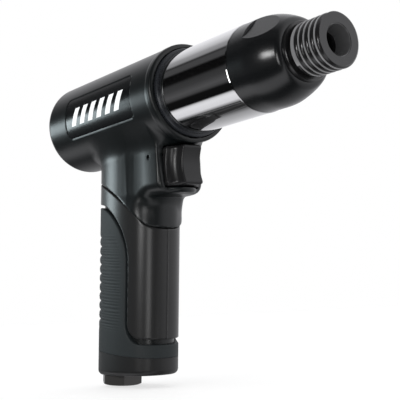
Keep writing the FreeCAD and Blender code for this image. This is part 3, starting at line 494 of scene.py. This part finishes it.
paint = finish("satin_black_enamel", (0.0040, 0.0052, 0.0056), 0.30, grain=700, height=3, rough_vary=0.02)
gloss_label = finish("gloss_black_label", (0.003, 0.0035, 0.004), 0.2, grain=500, height=2)
white_ink = finish("white_ink", (0.85, 0.86, 0.87), 0.45, grain=2500, height=3, vary=0.03)
ring_steel = finish("blackened_ring", (0.02, 0.022, 0.026), 0.28, metallic=0.3, grain=1500)
pin_steel = finish("blackened_pin", (0.004, 0.0042, 0.0045), 0.5, grain=2500)
chrome = finish("polished_chrome", (0.84, 0.84, 0.845), 0.05, metallic=1, grain=400, height=0.4, vary=0.02,
                rough_vary=0.015, stretch=(4, 1, 1))
nose_black = finish("nose_black_oxide", (0.004, 0.0045, 0.005), 0.22, grain=1600, height=1.2, specular=0.7,
                    rough_vary=0.03)
# The first band paints bright highlight lines on the thread crests; the second lightens the bore, partly
# uncoated steel and partly a painted reflection.
oxide = finish("barrel_oxide", (0.008, 0.008, 0.0084), 0.22, metallic=0.1, grain=2500, height=2, vary=0.25,
               stretch=(6, 1, 1), specular=0.8, rings=14,
               steel_and_sheen_bands=[(13.2, 14, 19, 0.4), (5.5, 7.9, 20, 0.12)])
rubber_seal = finish("seal_rubber", (0.012, 0.012, 0.013), 0.6, grain=2500)
steel = finish("bright_steel", (0.55, 0.55, 0.56), 0.28, metallic=1, grain=2500, height=3)
brass = finish("brass", (0.72, 0.52, 0.22), 0.3, metallic=1, grain=2500, height=3)
trigger_black = finish("trigger_moulding", (0.0085, 0.0085, 0.009), 0.3, grain=1500, height=5, specular=0.45)
front_rubber = finish("front_grip_rubber", (0.0125, 0.0125, 0.0128), 0.30, grain=2200, height=5,
                      rough_vary=0.02)
rear_rubber = finish("rear_pad_rubber", (0.014, 0.018, 0.0195), 0.55, grain=2600, height=14, rough_vary=0.06,
                     specular=0.35)
base_black = finish("base_cap_paint", (0.009, 0.009, 0.0093), 0.40, grain=2000, height=8)
fibre = finish("gasket_fibre", (0.30, 0.24, 0.17), 0.85, grain=3500, height=20, vary=0.3)
felt = finish("muffler_felt", (0.35, 0.34, 0.32), 0.95, grain=4000, height=60, vary=0.25)
inlet_steel = finish("inlet_steel", (0.09, 0.088, 0.086), 0.34, metallic=0.9, grain=1800, height=4, vary=0.2)

SLOT_FINISH = {
    "housing_black": paint, "label_gloss": gloss_label, "ring_black": ring_steel, "chrome": chrome,
    "nose_black": nose_black, "barrel_oxide": oxide, "seal_rubber": rubber_seal, "plain_steel": steel,
    "brass": brass, "trigger_black": trigger_black, "front_rubber": front_rubber,
    "rear_rubber": rear_rubber, "base_black": base_black, "gasket": fibre, "felt": felt,
    "inlet_steel": inlet_steel}

for entry in frame["record"]["subparts"]:
    node = nodes[entry["node"]]
    node.data.materials.clear()
    dark_pin = entry["node"] == "trigger_pin"
    node.data.materials.append(pin_steel if dark_pin else SLOT_FINISH[entry["material_slot"]])

# ---------------------------------------------------------------- pieces
COARSER = 1.0

house_low = [-HOUSE_END - 2, -29, -146]
house_high = [-HOUSE_FRONT + 3, 29, 29]
piece = add_mesh("housing_skin", *skin(housing, house_low, house_high, 0.8 * COARSER), "root",
                 "housing_black", paint)
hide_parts("housing")

grip_low, grip_high = [-213, -19.5, -148], [-118, 19.5, -36]
piece = add_mesh("front_grip_skin", *skin(front_grip, grip_low, grip_high, 0.55 * COARSER), "root",
                 "front_rubber", front_rubber)
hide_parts("front_grip")
piece = add_mesh("rear_grip_skin", *skin(rear_grip, grip_low, grip_high, 0.45 * COARSER), "root",
                 "rear_rubber", rear_rubber)
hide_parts("rear_grip")

piece = add_mesh("trigger_skin", *skin(trigger, [-141, -13, -53], [-111, 13, -26], 0.4 * COARSER), "trigger",
                 "trigger_black", trigger_black)
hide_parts("trigger")


def wrapped_slab(station, angle, side, low_r, high_r):
    """A thin slab bent round the barrel, from grids of stations and of angles above the level."""
    def layer(radius):
        return np.stack([-station, side * radius * np.cos(angle), radius * np.sin(angle)], -1).reshape(-1, 3)
    rows, columns = station.shape
    count = rows * columns
    grid = np.arange(count).reshape(rows, columns)
    top = np.stack([grid[:-1, :-1], grid[1:, :-1], grid[1:, 1:], grid[:-1, 1:]], -1).reshape(-1, 4)
    rim = np.concatenate([grid[:-1, 0], grid[-1, :-1], grid[:0:-1, -1], grid[0, :0:-1]])
    after = np.roll(rim, -1)
    wall = np.stack([rim, rim + count, after + count, after], -1)
    faces = np.concatenate([top, top[:, ::-1] + count, wall[:, ::-1]])
    return np.concatenate([layer(high_r), layer(low_r)]), faces if side > 0 else faces[:, ::-1]


def label_plate(side):
    """The smooth panel, a rounded rectangle."""
    corner = 2.7
    turns = np.linspace(0, math.pi / 2, 7)
    inset, lost = corner * (1 - np.cos(turns)), corner * (1 - np.sin(turns))
    stations = np.concatenate([LABEL_FRONT + LABEL_GAP + inset, LABEL_REAR - LABEL_GAP - inset[::-1]])
    reach = LABEL_HALF - (LABEL_GAP + np.concatenate([lost, lost[::-1]])) / BARREL_R
    share = np.linspace(-1, 1, 25)
    stations = stations[:, None] + 0 * share
    return wrapped_slab(stations, reach[:, None] * share, side, BARREL_R - 0.48, BARREL_R - 0.12)


def label_bar(number, side):
    """One of the slanted bars printed on the panel."""
    share = np.linspace(-1, 1, 13)[:, None]
    stations = FIRST_BAR + BAR_PITCH * number + np.array([BAR_HALF, -BAR_HALF]) - BAR_SLANT * share
    angles = BAR_REACH * share + 0 * stations
    return wrapped_slab(stations, angles, side, BARREL_R - 0.16, BARREL_R - 0.04)


for hand, side in (("right", -1), ("left", 1)):
    piece = add_mesh(f"label_plate_{hand}", *label_plate(side), "root", "label_gloss", gloss_label, crease=35)
    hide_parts(f"label_panel_{hand}")
    vertices, faces = [], []
    for number in range(BARS):
        bar_vertices, bar_faces = label_bar(number, side)
        faces.append(bar_faces + sum(len(part) for part in vertices))
        vertices.append(bar_vertices)
    add_mesh(f"label_bars_{hand}", np.concatenate(vertices), np.concatenate(faces), "root", "label_gloss",
             white_ink, crease=30)


# ---------------------------------------------------------------- studio
def make_floor():
    """A pale floor that the chrome doesn't mirror."""
    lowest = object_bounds()[0][2]
    bpy.ops.mesh.primitive_plane_add(size=12, location=(0, 0, lowest - 0.0002))
    floor = bpy.context.object
    floor.name = "floor"
    material = finish("pale_floor", (0.35, 0.35, 0.35), 0.7, grain=300, height=2, vary=0.01, specular=0.1)
    shader = material.node_tree.nodes["Principled BSDF"]
    shader.inputs["Emission Color"].default_value = (1, 1, 1, 1)
    shader.inputs["Emission Strength"].default_value = 0.66
    floor.data.materials.append(material)
    floor.visible_glossy = False


FAINT_BLUE = 1.03


def make_world():
    """Soft studio surroundings: long strips of light and shade that run along the tool."""
    world = bpy.data.worlds.new("studio")
    bpy.context.scene.world = world
    world.use_nodes = True
    tree = world.node_tree
    background = tree.nodes["Background"]
    where = tree.nodes.new("ShaderNodeTexCoord")
    split = tree.nodes.new("ShaderNodeSeparateXYZ")
    tree.links.new(where.outputs["Generated"], split.inputs["Vector"])
    flip = tree.nodes.new("ShaderNodeMath")
    flip.operation = "MULTIPLY"
    flip.inputs[1].default_value = -1
    tree.links.new(split.outputs["Y"], flip.inputs[0])
    angle = tree.nodes.new("ShaderNodeMath")
    angle.operation = "ARCTAN2"
    tree.links.new(split.outputs["Z"], angle.inputs[0])
    tree.links.new(flip.outputs["Value"], angle.inputs[1])
    turn = tree.nodes.new("ShaderNodeMapRange")
    turn.inputs["From Min"].default_value = -math.pi
    turn.inputs["From Max"].default_value = math.pi
    tree.links.new(angle.outputs["Value"], turn.inputs["Value"])
    strips = tree.nodes.new("ShaderNodeValToRGB")
    tree.links.new(turn.outputs["Result"], strips.inputs["Fac"])
    # (degrees round the tool from level on its right-hand side, brightness)
    levels = [
        (-180, 0.75), (-125, 0.35), (-108, 0.06), (-96, 0.02), (-86, 0.05), (-76, 0.75), (-60, 0.85),
        (-54, 0.7), (-49, 0.005), (-30, 0.006), (-24, 0.06), (-16, 0.085), (0, 0.045), (12, 0.035),
        (20, 0.004), (40, 0.003), (46, 0.06), (58, 0.065), (65, 0.03), (71, 0.26), (82, 0.33),
        (92, 0.56), (112, 0.78), (145, 0.95), (160, 1.0), (180, 0.9)]
    ramp = strips.color_ramp
    for number, (degrees, level) in enumerate(levels):
        spot = ramp.elements[number] if number < 2 else ramp.elements.new(1)
        spot.position = (degrees + 180) / 360
        spot.color = (level, level, level * FAINT_BLUE, 1)
    path = tree.nodes.new("ShaderNodeLightPath")
    choice = tree.nodes.new("ShaderNodeMix")
    choice.data_type = "RGBA"
    choice.inputs["A"].default_value = (1, 1, 1, 1)
    tree.links.new(path.outputs["Is Glossy Ray"], choice.inputs["Factor"])
    tree.links.new(strips.outputs["Color"], choice.inputs["B"])
    tree.links.new(choice.outputs["Result"], background.inputs["Color"])


TOOL_MIDDLE, LIGHT_DISTANCE = (-0.16, 0, -0.03), 0.9


def around(azimuth, elevation):
    """Direction from the tool: azimuth from straight ahead towards the right-hand side, in degrees."""
    turned, raised = math.radians(azimuth), math.radians(elevation)
    level = math.cos(raised)
    return level * math.cos(turned), -level * math.sin(turned), math.sin(raised)


def soft_light(name, towards, width, height, power, colour=(1.0, 1.0, 1.0)):
    """A rectangular soft light, seen from the tool in the given direction."""
    data = bpy.data.lights.new(name, "AREA")
    data.shape = "RECTANGLE"
    data.size, data.size_y = width, height
    data.energy = power
    data.color = colour
    light = bpy.data.objects.new(name, data)
    bpy.context.scene.collection.objects.link(light)
    direction = Vector(towards).normalized()
    light.location = Vector(TOOL_MIDDLE) + direction * LIGHT_DISTANCE
    light.rotation_euler = direction.to_track_quat("Z", "Y").to_euler()
    light.visible_camera = False


def make_camera():
    """The photograph's view, solved from the tool's round edges."""
    data = bpy.data.cameras.new("camera")
    data.sensor_width = 36
    data.lens = 82.8
    data.clip_start = 0.02
    camera = bpy.data.objects.new("camera", data)
    bpy.context.scene.collection.objects.link(camera)
    forward = Vector((-0.787, 0.605, 0.120)).normalized()
    right = forward.cross(Vector((0.124, -0.035, 0.992))).normalized()
    up = right.cross(forward)
    turned = Matrix((right, up, -forward)).transposed().to_4x4()
    camera.matrix_world = Matrix.Translation((0.2834, -0.3024, -0.1202)) @ turned
    bpy.context.scene.camera = camera


make_floor()
make_world()
make_camera()
soft_light("kicker", around(153, 6), 0.26, 0.20, 1.1, (0.83, 0.96, 1.0))
soft_light("side_box", around(80, 5), 0.28, 0.18, 1.9)
soft_light("front_strip", around(46, -8), 0.22, 0.34, 0.95)
bpy.context.scene.view_settings.view_transform = "Standard"
